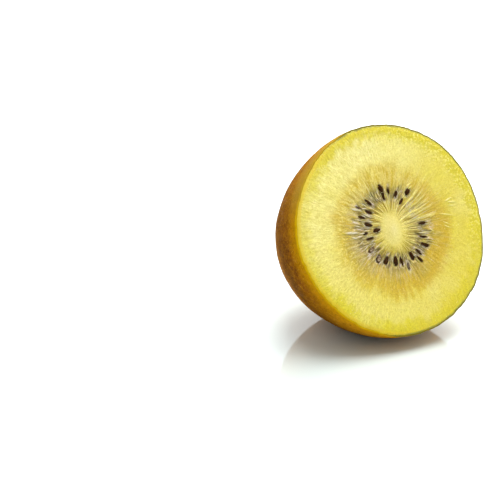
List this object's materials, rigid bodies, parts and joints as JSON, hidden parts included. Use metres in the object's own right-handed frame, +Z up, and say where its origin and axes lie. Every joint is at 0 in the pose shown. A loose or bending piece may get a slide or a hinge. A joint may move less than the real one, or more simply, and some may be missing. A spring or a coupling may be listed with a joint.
{
  "type": "half of a golden kiwi fruit",
  "caption": "Half of a golden kiwi fruit lying on its brown skin, cut across to show glossy yellow flesh, a pale core and a ring of dark seeds.",
  "frame": {"origin": "middle of the flat spot on the skin that the half rests on", "axes": "+Z up, the cut face looks towards -Y and up by 27.3 degrees, +X to the right of the cut face seen from the front"},
  "size_m": [0.054, 0.0469, 0.0521],
  "materials": {
    "flesh": "wet, fine-grained yellow fruit flesh, slightly translucent",
    "skin": "thin golden-brown skin with fine pale specks and very short down",
    "seed": "smooth dark brown seed, wet"
  },
  "bodies": {
    "root": {"golden_kiwi_half": "flesh"}
  },
  "joints": []
}
